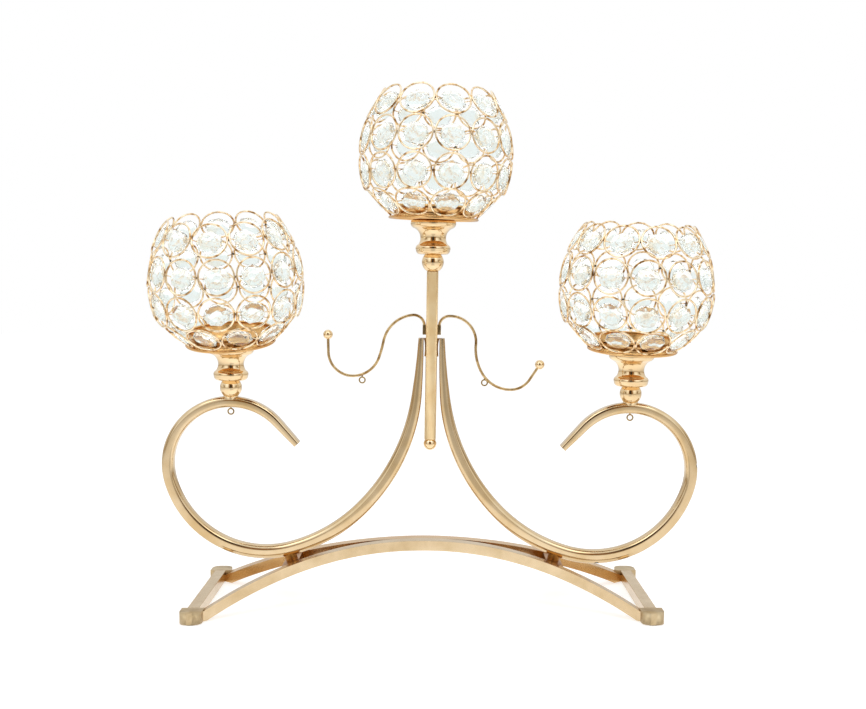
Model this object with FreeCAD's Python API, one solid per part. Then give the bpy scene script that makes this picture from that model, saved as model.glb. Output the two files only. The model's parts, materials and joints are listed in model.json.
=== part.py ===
# Three-light candelabra: ring-and-bead bowls on turned stems, two scroll tubes,
# a square centre post with two hook arms, and a base of two arched bars.
# Millimetres, +Z up, the front towards -Y, origin on the floor under the middle.
import FreeCAD, Part
import math
import os

Vector = FreeCAD.Vector
ORIGIN = Vector(0, 0, 0)
X_AXIS = Vector(1, 0, 0)
Y_AXIS = Vector(0, 1, 0)
Z_AXIS = Vector(0, 0, 1)
SIDES = {"left": -1, "right": 1}

# Fits, shared by every joint in the piece
bolt_clearance = 0.15
swivel_clearance = 0.08
swivel_play = 0.06
cut_overrun = 2.0

# Base: foot bars, foot caps and the two arched bars
base_offset_x = -5.8
foot_spacing_x = 304.6
foot_spacing_y = 105.8
foot_bar_width = 8.0
foot_bar_height = 7.8
foot_cap_width = 15.0
foot_cap_depth = 13.0
foot_cap_corner = 5.5
pad_radius = 5.0
pad_height = 0.8
arch_bar_width = 8.5
arch_bar_thickness = 6.9
arch_crown_height = 44.4
arch_end_height = 5.52
arch_plan_radius = 232.0
arch_touch_length = 23.6

# Bridges, spacers and bolts that carry the scrolls on the arched bars
bridge_spacing = 185.0
bridge_width = 12.0
bridge_height = 5.0
bridge_drop = 0.6
spacer_radius = 4.2
spacer_gap = 2.54
bolt_radius = 2.0
bolt_grip_depth = 4.0
bolt_head_width = 7.0
bolt_head_height = 2.8

# Upper frame: it leans slightly to the right on the base
upper_offset_x = 1.2
upper_lean_deg = 0.9
lean_centre_height = 218.0

# Scroll tubes: a chain of arcs from the post down, out, up and back in
scroll_top_height = 185.9
scroll_top_offset = 7.3
scroll_start_heading_deg = -88.6
scroll_radii = [527.2, 134.1, 111.2, 69.0, 44.1]
scroll_turns_deg = [4.4, 39.0, 29.7, 88.9, 153.5]
scroll_tail_length = 20.9
tube_width = 9.6
tube_depth = 9.6
tube_corner_share = 0.36
tube_width_shares = [(0.0, 0.375), (0.055, 0.56), (0.106, 0.80), (0.20, 0.97), (0.30, 1.0),
                     (0.48, 0.985), (0.71, 0.875), (0.87, 0.80), (0.95, 0.70), (1.0, 0.48)]
tube_section_turn_deg = 12.0
scroll_free_end_share = 0.7
scroll_top_share = 0.87

# Centre post, side plates and finial
post_width = 8.0
post_corner = 1.2
post_bottom_height = 115.1
post_socket_depth = 0.9
side_plate_height = 12.6
side_plate_depth = 7.0
finial_radius = 4.6
finial_seat_depth = 1.2

# Hook arms: a root tab on the post, then a chain of wire arcs
hook_wire_radius = 0.95
hook_root_gap = 2.4
hook_tab_height = 7.0
hook_tab_thickness = 2.4
hook_tab_depth = 4.6
hook_chain = {
    "left": {"radii": [7.5, 23.0, 78.4, 19.4, 17.1], "turns_deg": [-96.5, -73.0, 8.7, 67.8, 91.2],
             "tail": 12.1, "eyelet_offset": 48.1},
    "right": {"radii": [7.1, 18.1, 33.9, 23.0, 15.9], "turns_deg": [-86.8, -97.8, 35.5, 60.5, 55.7],
              "tail": 12.6, "eyelet_offset": 37.4},
}
hook_ball_radius = 3.35

# Hanging eyelets
eyelet_ring_radius = 2.0
eyelet_wire_radius = 0.5
eyelet_stub_length = 0.6

# Turned stems
centre_collar_height = 244.0
stem_ball_radius = 7.6
stem_ball_drop = 5.2
stem_height = 24.2
collar_radius = 11.8
collar_height = 6.9
neck_radius = 8.9
neck_height = 11.6
disc_radius = 15.75
disc_height = 6.7
disc_flare = 2.6
stem_edge_round = 2.8
washer_radius = 5.2
washer_rise = 0.52
washer_skirt = 2.6

# Bowl fixing screw
screw_radius = 2.0
screw_depth = 10.0
screw_head_radius = 4.0
screw_head_height = 2.2
screw_slot_width = 1.0
screw_slot_depth = 1.1
shim_radius = 5.0

# Tray
tray_radius = 31.2
tray_sheet = 0.9
tray_rim_radius = 1.0
tray_rim_step = 0.05
cup_floor_radius = 25.6
cup_rim_radius = 28.6
cup_wall_height = 7.0
cup_lip_radius = 0.8

# Bowl cage: rings of wire in four rows, each ring round one bead
ring_outer_radius = 12.25
ring_wire_radius = 0.8
ring_segments = 12
ring_wire_sides = 3
ring_gap = 0.3
row_gap = 0.35
top_row_gap = 0.1
bottom_row_lap = 1.2
cage_seat_clearance = 0.1
row_tilts_deg = [30.0, 11.0, -11.0, -44.0]
row_counts = [11, 13, 13, 10]
row_names = ["top", "upper", "lower", "bottom"]
bead_seat_clearance = 0.05
bead_shoulder_across = 6.3
bead_shoulder_height = 5.2
bead_half_height = 7.0
bead_half_depth = 4.0

# How each bowl sits on its stem: side and forward lean, and the turn of each ring row
bowl_poses = {
    "left": {"lean_deg": -1.5, "forward_deg": 9.9, "row_turns_deg": [-1.0, 4.0, 2.0, 20.0], "rise": 0.35},
    "centre": {"lean_deg": 2.2, "forward_deg": 1.5, "row_turns_deg": [14.0, 12.0, 12.0, 14.0], "rise": 0.1},
    "right": {"lean_deg": 2.0, "forward_deg": 5.0, "row_turns_deg": [7.0, -2.0, -1.0, 10.0], "rise": 0.6},
}

# Sizes worked out from the ones above
foot_half_x = foot_spacing_x / 2
foot_half_y = foot_spacing_y / 2
foot_top = pad_height + foot_bar_height
bridge_half_x = bridge_spacing / 2
arch_reach = foot_half_x - foot_bar_width / 2
arch_rise = arch_crown_height - arch_end_height
arch_rise_radius = (arch_rise ** 2 + arch_reach ** 2) / (2 * arch_rise)
hook_root_height = scroll_top_height + hook_root_gap
post_half = post_width / 2
disc_flat_radius = disc_radius - stem_edge_round
row_radii = [(ring_outer_radius + ring_gap / 2) / math.tan(math.pi / count) for count in row_counts]
row_rises = [ring_outer_radius * math.cos(math.radians(tilt)) for tilt in row_tilts_deg]
row_heights = [
    row_gap / 2 + 2 * row_rises[1] + top_row_gap + row_rises[0],
    row_gap / 2 + row_rises[1],
    -row_gap / 2 - row_rises[2],
    -row_gap / 2 - 2 * row_rises[2] + bottom_row_lap - row_rises[3],
]
cage_centre_height = tray_sheet + cage_seat_clearance + row_rises[3] - row_heights[3]


def turn_to_upper_frame(shape):
    """Lean a piece of the upright upper frame to its place on the base."""
    shape.rotate(Vector(0, 0, lean_centre_height), Y_AXIS, upper_lean_deg)
    shape.translate(Vector(upper_offset_x, 0, upper_rise))
    return shape


def upper_point(x, z):
    """Place of an upright upper-frame point after the lean."""
    lean = math.radians(upper_lean_deg)
    up = z - lean_centre_height
    return Vector(upper_offset_x + x * math.cos(lean) + up * math.sin(lean), 0,
                  upper_rise + lean_centre_height - x * math.sin(lean) + up * math.cos(lean))


def save(name, shape):
    shape.exportStep(os.path.join("parts", name + ".step"))
    print("%-24s solids %3d volume %10.1f mm3" % (name, len(shape.Solids), shape.Volume))


def centred_box(width, depth, height, centre_x, centre_y, bottom):
    corner = Vector(centre_x - width / 2, centre_y - depth / 2, bottom)
    return Part.makeBox(width, depth, height, corner)


def arc_point(centre_x, centre_y, radius, angle):
    return Vector(centre_x + radius * math.sin(angle), centre_y + radius * math.cos(angle), 0)


# Base

def foot_cap(side_x, side_y):
    """Foot cap with the two outer corners rounded, flat against the foot bar."""
    cap = centred_box(foot_cap_width, foot_cap_depth, foot_bar_height,
                      side_x * foot_half_x, side_y * foot_half_y, pad_height)
    outer_y = side_y * (foot_half_y + foot_cap_depth / 2)
    edges = [e for e in cap.Edges
             if abs(e.tangentAt(e.FirstParameter).z) > 0.9 and abs(e.CenterOfMass.y - outer_y) < foot_cap_corner]
    return cap.makeFillet(foot_cap_corner, edges)


def foot_bar(side_x):
    length = foot_spacing_y - foot_cap_depth
    return centred_box(foot_bar_width, length, foot_bar_height, side_x * foot_half_x, 0, pad_height)


def foot_pads():
    pads = []
    for side_x in SIDES.values():
        for side_y in SIDES.values():
            place = Vector(side_x * foot_half_x, side_y * foot_half_y, 0)
            pads.append(Part.makeCylinder(pad_radius, pad_height, place))
    return Part.makeCompound(pads)


def arch_plan_edges(side_y, offset):
    """One edge of an arched bar seen from above: straight in the middle, curving out to the feet."""
    flat = arch_touch_length / 2
    centre_y = -(arch_bar_width / 2 + arch_plan_radius)
    radius = arch_plan_radius + arch_bar_width / 2 - offset
    end_angle = math.asin((arch_reach - flat) / radius)
    right = [arc_point(flat, centre_y, radius, end_angle * share) for share in (0.0, 0.5, 1.0)]
    points = [Vector(-p.x, p.y, 0) for p in reversed(right)] + right
    return [Vector(p.x, -side_y * p.y, 0) for p in points]


def arch_bar(side_y):
    """Flat bar bent in plan and in height, cut to stand on the foot level against the foot bars."""
    near = arch_plan_edges(side_y, 0)
    far = arch_plan_edges(side_y, arch_bar_width)
    plan = Part.Wire([
        Part.Arc(near[0], near[1], near[2]).toShape(),
        Part.LineSegment(near[2], near[3]).toShape(),
        Part.Arc(near[3], near[4], near[5]).toShape(),
        Part.LineSegment(near[5], far[5]).toShape(),
        Part.Arc(far[5], far[4], far[3]).toShape(),
        Part.LineSegment(far[3], far[2]).toShape(),
        Part.Arc(far[2], far[1], far[0]).toShape(),
        Part.LineSegment(far[0], near[0]).toShape(),
    ])
    plan_solid = Part.Face(plan).extrude(Vector(0, 0, arch_crown_height + cut_overrun))

    centre = Vector(0, -foot_spacing_y, arch_crown_height - arch_rise_radius)
    outer = Part.makeCylinder(arch_rise_radius, 2 * foot_spacing_y, centre, Y_AXIS)
    inner = Part.makeCylinder(arch_rise_radius - arch_bar_thickness, 2 * foot_spacing_y, centre, Y_AXIS)
    bar = plan_solid.common(outer.cut(inner))
    below_feet = centred_box(2 * foot_spacing_x, 2 * foot_spacing_y, pad_height + cut_overrun, 0, 0, -cut_overrun)
    return bar.cut(below_feet)


def arch_top_at(x):
    return arch_crown_height - arch_rise_radius + math.sqrt(arch_rise_radius ** 2 - x ** 2)


def turn_to_arch(shape, side):
    """Move a piece drawn round the origin onto the arch top at the bridge, square to its slope."""
    shape.rotate(ORIGIN, Y_AXIS, side * math.degrees(math.asin(bridge_half_x / arch_rise_radius)))
    shape.translate(Vector(side * bridge_half_x, 0, arch_top_at(bridge_half_x)))
    return shape


def bridge(side, arches):
    """Short cross piece between the arched bars, under the scroll."""
    bend = bridge_half_x + bridge_width - arch_touch_length / 2
    gap = 2 * (arch_bar_width + arch_plan_radius - math.sqrt(arch_plan_radius ** 2 - bend ** 2))
    block = centred_box(bridge_width, gap, bridge_height, 0, 0, -bridge_drop - bridge_height)
    hole = Part.makeCylinder(bolt_radius + bolt_clearance, bridge_height + 2 * cut_overrun,
                             Vector(0, 0, -bridge_drop - bridge_height - cut_overrun))
    block = turn_to_arch(block.cut(hole), side)
    for arch in arches:
        block = block.cut(arch)
    return min(block.Solids, key=lambda solid: abs(solid.CenterOfMass.y))


def place_on_base(shape):
    shape.translate(Vector(base_offset_x, 0, 0))
    return shape


def scroll_underside(side, rise=0.0):
    """Distance from the bridge's place on the arch up to the scroll's underside, square to the arch,
    with the upper frame raised further by this much."""
    slope = math.asin(bridge_half_x / arch_rise_radius)
    foot_x, foot_z = bridge_half_x + side * base_offset_x, arch_top_at(bridge_half_x)
    before = None
    for x, z, heading, share in scroll_path():
        at = upper_point(side * x, z)
        off_x, off_z = side * at.x - foot_x, at.z + rise - foot_z
        along = off_x * math.cos(slope) - off_z * math.sin(slope)
        above = off_x * math.sin(slope) + off_z * math.cos(slope)
        if before is not None and before[0] < 0 <= along:
            middle = before[1] + (above - before[1]) * (0 - before[0]) / (along - before[0])
            return middle - tube_width / 2
        before = (along, above)
    raise ValueError("the scroll doesn't pass over the bridge")


def seat_rise():
    """How far the upper frame is raised for the nearer scroll to stand its gap above the arch."""
    gap = min(scroll_underside(side) for side in SIDES.values())
    return (spacer_gap - gap) / math.cos(math.asin(bridge_half_x / arch_rise_radius))


def spacer(side, scroll):
    """Sleeve between bridge and scroll, its top shaped to the tube."""
    length = scroll_underside(side) + tube_width / 3 + bridge_drop
    base = Vector(0, 0, -bridge_drop)
    sleeve = Part.makeCylinder(spacer_radius, length, base)
    hole = Part.makeCylinder(bolt_radius + bolt_clearance, length, base)
    sleeve = place_on_base(turn_to_arch(sleeve.cut(hole), side))
    return sleeve.cut(scroll)


def bolt_length(side):
    return bridge_drop + bridge_height + scroll_underside(side) + bolt_grip_depth


def base_bolt(side):
    bottom = -bridge_drop - bridge_height
    shank = Part.makeCylinder(bolt_radius, bolt_length(side), Vector(0, 0, bottom))
    corners = []
    for index in range(7):
        angle = math.radians(60 * index)
        reach = bolt_head_width / math.sqrt(3)
        corners.append(Vector(reach * math.cos(angle), reach * math.sin(angle), bottom - bolt_head_height))
    head = Part.Face(Part.makePolygon(corners)).extrude(Vector(0, 0, bolt_head_height))
    return place_on_base(turn_to_arch(shank.fuse(head).removeSplitter(), side))


def bolt_hole(side):
    hole = Part.makeCylinder(bolt_radius + bolt_clearance, bolt_length(side) + bolt_clearance,
                             Vector(0, 0, -bridge_drop - bridge_height))
    return place_on_base(turn_to_arch(hole, side))


# Scroll tubes

def chain_path(start_x, start_z, start_heading_deg, radii, turns_deg, tail, step_deg):
    """Points (x, z, heading) along tangent arcs and a straight tail, evenly stepped in each arc."""
    x, z, heading = start_x, start_z, start_heading_deg
    points = [(x, z, heading)]
    for radius, turn in zip(radii, turns_deg):
        count = max(2, math.ceil(abs(turn) / step_deg))
        for _ in range(count):
            part_turn = turn / count
            chord = 2 * radius * math.sin(math.radians(abs(part_turn)) / 2)
            along = math.radians(heading + part_turn / 2)
            x += chord * math.cos(along)
            z += chord * math.sin(along)
            heading += part_turn
            points.append((x, z, heading))
    along = math.radians(heading)
    if tail:
        for share in (0.5, 1.0):
            points.append((x + tail * share * math.cos(along), z + tail * share * math.sin(along), heading))
    return points


def scroll_path():
    """Right-hand scroll: (x, z, heading, share of the length)."""
    points = chain_path(scroll_top_offset, scroll_top_height, scroll_start_heading_deg, scroll_radii,
                        scroll_turns_deg, scroll_tail_length, tube_section_turn_deg)
    lengths = [0.0]
    for before, after in zip(points, points[1:]):
        lengths.append(lengths[-1] + math.hypot(after[0] - before[0], after[1] - before[1]))
    return [(x, z, heading, length / lengths[-1]) for (x, z, heading), length in zip(points, lengths)]


def tube_width_share(share):
    for (low, low_width), (high, high_width) in zip(tube_width_shares, tube_width_shares[1:]):
        if share <= high:
            return low_width + (high_width - low_width) * (share - low) / (high - low)
    return tube_width_shares[-1][1]


def rounded_section(at, heading_deg, width, depth):
    """Rounded rectangle square to the path: width across it in the scroll's plane, depth along Y."""
    across = Vector(-math.sin(math.radians(heading_deg)), 0, math.cos(math.radians(heading_deg)))
    corner = tube_corner_share * min(width, depth)
    half_w, half_d = width / 2, depth / 2
    mid = corner * (1 - math.sqrt(0.5))

    def at_local(u, v):
        return at + across * u + Y_AXIS * v

    edges = []
    for su, sv in ((1, 1), (-1, 1), (-1, -1), (1, -1)):
        first = at_local(su * half_w, sv * (half_d - corner))
        middle = at_local(su * (half_w - mid), sv * (half_d - mid))
        last = at_local(su * (half_w - corner), sv * half_d)
        if su * sv < 0:
            first, last = last, first
        edges.append(Part.Arc(first, middle, last).toShape())
    sides = []
    for index, edge in enumerate(edges):
        following = edges[(index + 1) % 4]
        sides.append(edge)
        sides.append(Part.LineSegment(edge.valueAt(edge.LastParameter),
                                      following.valueAt(following.FirstParameter)).toShape())
    return Part.Wire(sides)


def scroll(side):
    wires = []
    for x, z, heading, share in scroll_path():
        wires.append(rounded_section(Vector(x, 0, z), heading, tube_width * tube_width_share(share), tube_depth))
    tube = Part.makeLoft(wires, True, False)
    if side < 0:
        tube = tube.mirror(ORIGIN, X_AXIS)
    return turn_to_upper_frame(tube)


# Centre post and hook arms

def square_post():
    top = centre_collar_height - stem_ball_drop - stem_ball_radius + post_socket_depth
    post = centred_box(post_width, post_width, top - post_bottom_height, 0, 0, post_bottom_height)
    upright = [e for e in post.Edges if abs(e.tangentAt(e.FirstParameter).z) > 0.9]
    return post.makeFillet(post_corner, upright)


def side_plate(side, scroll_upright):
    """Plate that fills the gap between post and scroll leg."""
    width = scroll_top_offset
    plate = centred_box(width, side_plate_depth, side_plate_height, side * (post_half + width / 2), 0,
                        scroll_top_height - side_plate_height)
    pieces = plate.cut(scroll_upright).Solids
    return min(pieces, key=lambda solid: abs(solid.CenterOfMass.x))


def hook_arm(name, side):
    """Root tab on the post's side and the bent wire."""
    chain = hook_chain[name]
    tab_top = hook_root_height + hook_tab_height
    start_x = post_half + hook_tab_thickness / 2
    path = []
    x, z, heading = start_x, tab_top - hook_wire_radius, 90.0
    for radius, turn in zip(chain["radii"], chain["turns_deg"]):
        points = chain_path(x, z, heading, [radius], [turn], 0, abs(turn) / 2)
        path.append(Part.Arc(*[Vector(px, 0, pz) for px, pz, _ in points]).toShape())
        x, z, heading = points[-1]
    along = math.radians(heading)
    end = Vector(x + chain["tail"] * math.cos(along), 0, z + chain["tail"] * math.sin(along))
    path.append(Part.LineSegment(Vector(x, 0, z), end).toShape())
    circle = Part.Wire(Part.makeCircle(hook_wire_radius, Vector(start_x, 0, tab_top - hook_wire_radius), Z_AXIS))
    wire = Part.Wire(path).makePipeShell([circle], True, False)
    tab = centred_box(hook_tab_thickness, hook_tab_depth, hook_tab_height, start_x, 0, hook_root_height)
    arm = tab.fuse(wire)
    ball = Part.makeSphere(hook_ball_radius, end).cut(wire)
    eyelet = hook_eyelet(chain["eyelet_offset"], path, arm)
    pieces = [arm, ball, eyelet]
    if side < 0:
        pieces = [piece.mirror(ORIGIN, X_AXIS) for piece in pieces]
    return [turn_to_upper_frame(piece) for piece in pieces]


def hanging_eyelet(x, underside, carrier):
    """Small ring on a stub under a carrier, facing the front."""
    middle = Vector(x, 0, underside - eyelet_stub_length - eyelet_wire_radius - eyelet_ring_radius)
    ring = Part.makeTorus(eyelet_ring_radius, eyelet_wire_radius, middle, Y_AXIS)
    stub_length = eyelet_stub_length + eyelet_wire_radius + hook_wire_radius
    stub = Part.makeCylinder(eyelet_wire_radius, stub_length, middle + Z_AXIS * eyelet_ring_radius)
    eyelet = ring.fuse(stub).cut(carrier)
    return min(eyelet.Solids, key=lambda solid: solid.CenterOfMass.z)


def hook_eyelet(offset, path, arm):
    """Eyelet under the lowest stretch of the hook wire at this offset."""
    plumb = Part.LineSegment(Vector(offset, 0, 0), Vector(offset, 0, centre_collar_height)).toShape()
    crossings = [edge.distToShape(plumb) for edge in path]
    nearest = min(crossings, key=lambda crossing: crossing[0])
    height = nearest[1][0][0].z
    return hanging_eyelet(offset, height - hook_wire_radius, arm)


# Turned stems

def scroll_crest():
    """Middle of the free end's highest point, and the height of the tube's outside there."""
    x, z, heading, share = max((row for row in scroll_path() if row[3] > scroll_free_end_share), key=lambda row: row[1])
    return x, z + tube_width * tube_width_share(share) / 2


def stem_collar():
    """Turned collar: rounded lower collar, waisted neck and a rounded disc on top."""
    disc_bottom = stem_height - disc_height
    soft = stem_edge_round * (1 - math.sqrt(0.5))
    low = [Vector(0, 0, 0), Vector(collar_radius - stem_edge_round, 0, 0),
           Vector(collar_radius - soft, 0, soft), Vector(collar_radius, 0, stem_edge_round),
           Vector(collar_radius - soft / 2, 0, collar_height - soft),
           Vector(neck_radius + stem_edge_round / 2, 0, collar_height)]
    neck = [Vector(neck_radius, 0, neck_height),
            Vector(neck_radius + stem_edge_round, 0, disc_bottom - soft / 2)]
    disc = [Vector(disc_radius - soft, 0, disc_bottom + disc_flare),
            Vector(disc_radius, 0, stem_height - stem_edge_round + soft),
            Vector(disc_radius - soft, 0, stem_height - soft / 2),
            Vector(disc_flat_radius, 0, stem_height), Vector(0, 0, stem_height)]
    profile = Part.Wire([
        Part.LineSegment(low[0], low[1]).toShape(),
        Part.Arc(low[1], low[2], low[3]).toShape(),
        Part.Arc(low[3], low[4], low[5]).toShape(),
        Part.Arc(low[5], neck[0], neck[1]).toShape(),
        Part.LineSegment(neck[1], disc[0]).toShape(),
        Part.Arc(disc[0], disc[1], disc[2]).toShape(),
        Part.LineSegment(disc[2], disc[3]).toShape(),
        Part.LineSegment(disc[3], disc[4]).toShape(),
        Part.LineSegment(disc[4], low[0]).toShape(),
    ])
    return Part.Face(profile).revolve(ORIGIN, Z_AXIS, 360)


def stem_pieces(name, x, collar_base, carrier):
    """Ball and collar over their carrier, upright."""
    ball_centre = Vector(x, 0, collar_base - stem_ball_drop)
    ball = Part.makeSphere(stem_ball_radius, ball_centre)
    collar = stem_collar()
    collar.translate(Vector(x, 0, collar_base))
    collar = collar.cut(ball)
    if name == "centre":
        return ball.cut(carrier), collar
    below = centred_box(4 * stem_ball_radius, 4 * stem_ball_radius, 2 * stem_ball_radius, x, 0,
                        washer_top_height - 2 * stem_ball_radius)
    return ball.cut(below), collar


def stem_washer(x, scroll_upright):
    """Seat washer shaped to the tube below and flat under the ball."""
    washer = Part.makeCylinder(washer_radius, washer_skirt, Vector(x, 0, washer_top_height - washer_skirt))
    return max(washer.cut(scroll_upright).Solids, key=lambda solid: solid.Volume)


# Bowls, in their own frame: origin where the bowl axis meets the stem top

def bowl_lean(name):
    """Angle between the bowl axis and its stem."""
    pose = bowl_poses[name]
    sideways = math.radians(pose["lean_deg"] - upper_lean_deg)
    return math.acos(math.cos(sideways) * math.cos(math.radians(pose["forward_deg"])))


def shim_height(name):
    """Enough to keep the leaning tray off the stem's disc all the way round."""
    return disc_flat_radius * math.tan(bowl_lean(name)) + bowl_poses[name]["rise"]


def place_bowl(shape, name, pivot):
    pose = bowl_poses[name]
    shape.rotate(ORIGIN, Y_AXIS, pose["lean_deg"])
    shape.rotate(ORIGIN, X_AXIS, pose["forward_deg"])
    shape.translate(pivot)
    return shape


def tray(bottom):
    """Spun dish: a flange with a rolled rim that carries the cage, and a flared cup for the light."""
    floor = bottom + tray_sheet
    rim = floor + cup_wall_height
    flange_radius = tray_radius - tray_rim_radius
    flange = Part.makeCylinder(flange_radius, tray_sheet, Vector(0, 0, bottom))
    edge = Part.makeTorus(flange_radius, tray_rim_radius, Vector(0, 0, floor - tray_rim_step - tray_rim_radius))
    outline = Part.makePolygon([
        Vector(cup_floor_radius, 0, floor), Vector(cup_floor_radius + tray_sheet, 0, floor),
        Vector(cup_rim_radius + tray_sheet, 0, rim), Vector(cup_rim_radius, 0, rim),
        Vector(cup_floor_radius, 0, floor)])
    wall = Part.Face(outline).revolve(ORIGIN, Z_AXIS, 360)
    lip = Part.makeTorus(cup_rim_radius + tray_sheet / 2, cup_lip_radius, Vector(0, 0, rim))
    hole = Part.makeCylinder(screw_radius + swivel_clearance, tray_sheet + 2 * cut_overrun,
                             Vector(0, 0, bottom - cut_overrun))
    return flange.fuse([edge, wall, lip]).cut(hole)


def tray_screw(head_bottom):
    """Slotted screw that holds the tray on the stem and lets it swivel."""
    shank = Part.makeCylinder(screw_radius, screw_depth + head_bottom, Vector(0, 0, -screw_depth))
    head = Part.makeCylinder(screw_head_radius, screw_head_height, Vector(0, 0, head_bottom))
    slot = centred_box(2 * screw_head_radius + cut_overrun, screw_slot_width, screw_slot_depth, 0, 0,
                       head_bottom + screw_head_height - screw_slot_depth)
    return shank.fuse(head).cut(slot)


def shim(height):
    """Washer that squares the leaning tray to the flat stem top."""
    low = -shim_radius
    blank = Part.makeCylinder(shim_radius, height - low, Vector(0, 0, low))
    hole = Part.makeCylinder(screw_radius + swivel_clearance, height - low, Vector(0, 0, low))
    return blank.cut(hole)


def solid_from_faces(loops):
    faces = [Part.Face(Part.makePolygon(loop + [loop[0]])) for loop in loops]
    return Part.Solid(Part.Shell(faces))


def wire_ring():
    """One ring of the cage, in the XY plane, as flat facets."""
    middle_radius = ring_outer_radius - ring_wire_radius
    rows = []
    for index in range(ring_segments):
        around = 2 * math.pi * index / ring_segments
        row = []
        for side in range(ring_wire_sides):
            turn = 2 * math.pi * side / ring_wire_sides
            reach = middle_radius + ring_wire_radius * math.cos(turn)
            row.append(Vector(reach * math.cos(around), reach * math.sin(around), ring_wire_radius * math.sin(turn)))
        rows.append(row)
    loops = []
    for index, row in enumerate(rows):
        following = rows[(index + 1) % ring_segments]
        for side in range(ring_wire_sides):
            after = (side + 1) % ring_wire_sides
            loops.append([row[side], following[side], following[after], row[after]])
    return solid_from_faces(loops)


def bead():
    """Faceted oval bead, in the XY plane, its two ends against the ring."""
    wire_reach = ring_wire_radius * (1 + math.cos(math.pi / ring_wire_sides))
    half_length = ring_outer_radius - wire_reach - bead_seat_clearance
    girdle = [(half_length, 0), (bead_shoulder_across, bead_shoulder_height), (0, bead_half_height),
              (-bead_shoulder_across, bead_shoulder_height), (-half_length, 0),
              (-bead_shoulder_across, -bead_shoulder_height), (0, -bead_half_height),
              (bead_shoulder_across, -bead_shoulder_height)]
    girdle = [Vector(x, y, 0) for x, y in girdle]
    front, back = Vector(0, 0, bead_half_depth), Vector(0, 0, -bead_half_depth)
    loops = []
    for index, corner in enumerate(girdle):
        following = girdle[(index + 1) % len(girdle)]
        loops.append([corner, following, front])
        loops.append([following, corner, back])
    return solid_from_faces(loops)


def cage_copies(unit, row, turn_deg, centre_z):
    """Copies of a unit shape round one row, each lying in its ring's plane."""
    copies = []
    tilt = row_tilts_deg[row]
    for index in range(row_counts[row]):
        around = turn_deg + 360.0 * index / row_counts[row]
        copy = unit.copy()
        copy.rotate(ORIGIN, X_AXIS, 90 - tilt)
        copy.translate(Vector(0, -row_radii[row], centre_z + row_heights[row]))
        copy.rotate(ORIGIN, Z_AXIS, around)
        copies.append(copy)
    return copies


def build_bowl(name, pivot, collar):
    """All pieces of one bowl, and the collar drilled for its screw."""
    pose = bowl_poses[name]
    seat = shim_height(name)
    bottom = seat + swivel_play
    centre_z = bottom + cage_centre_height
    hole = Part.makeCylinder(screw_radius + swivel_clearance, screw_depth + swivel_clearance + screw_radius,
                             Vector(0, 0, -screw_depth - swivel_clearance))
    collar = collar.cut(place_bowl(hole, name, pivot))
    save(name + "_tray_shim", place_bowl(shim(seat), name, pivot).cut(stem_half_space(pivot)))
    save(name + "_tray_screw", place_bowl(tray_screw(bottom + tray_sheet + swivel_play), name, pivot))
    save(name + "_tray", place_bowl(tray(bottom), name, pivot))
    ring, stone = wire_ring(), bead()
    stones = []
    for row, turn in enumerate(pose["row_turns_deg"]):
        rings = Part.makeCompound(cage_copies(ring, row, turn, centre_z))
        save("%s_%s_rings" % (name, row_names[row]), place_bowl(rings, name, pivot))
        stones.extend(cage_copies(stone, row, turn, centre_z))
    save(name + "_beads", place_bowl(Part.makeCompound(stones), name, pivot))
    return collar


def stem_half_space(pivot):
    """Block below the stem top, square to the upper frame."""
    block = centred_box(4 * shim_radius, 4 * shim_radius, 4 * shim_radius, 0, 0, -4 * shim_radius)
    block.rotate(ORIGIN, Y_AXIS, upper_lean_deg)
    block.translate(pivot)
    return block


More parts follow.
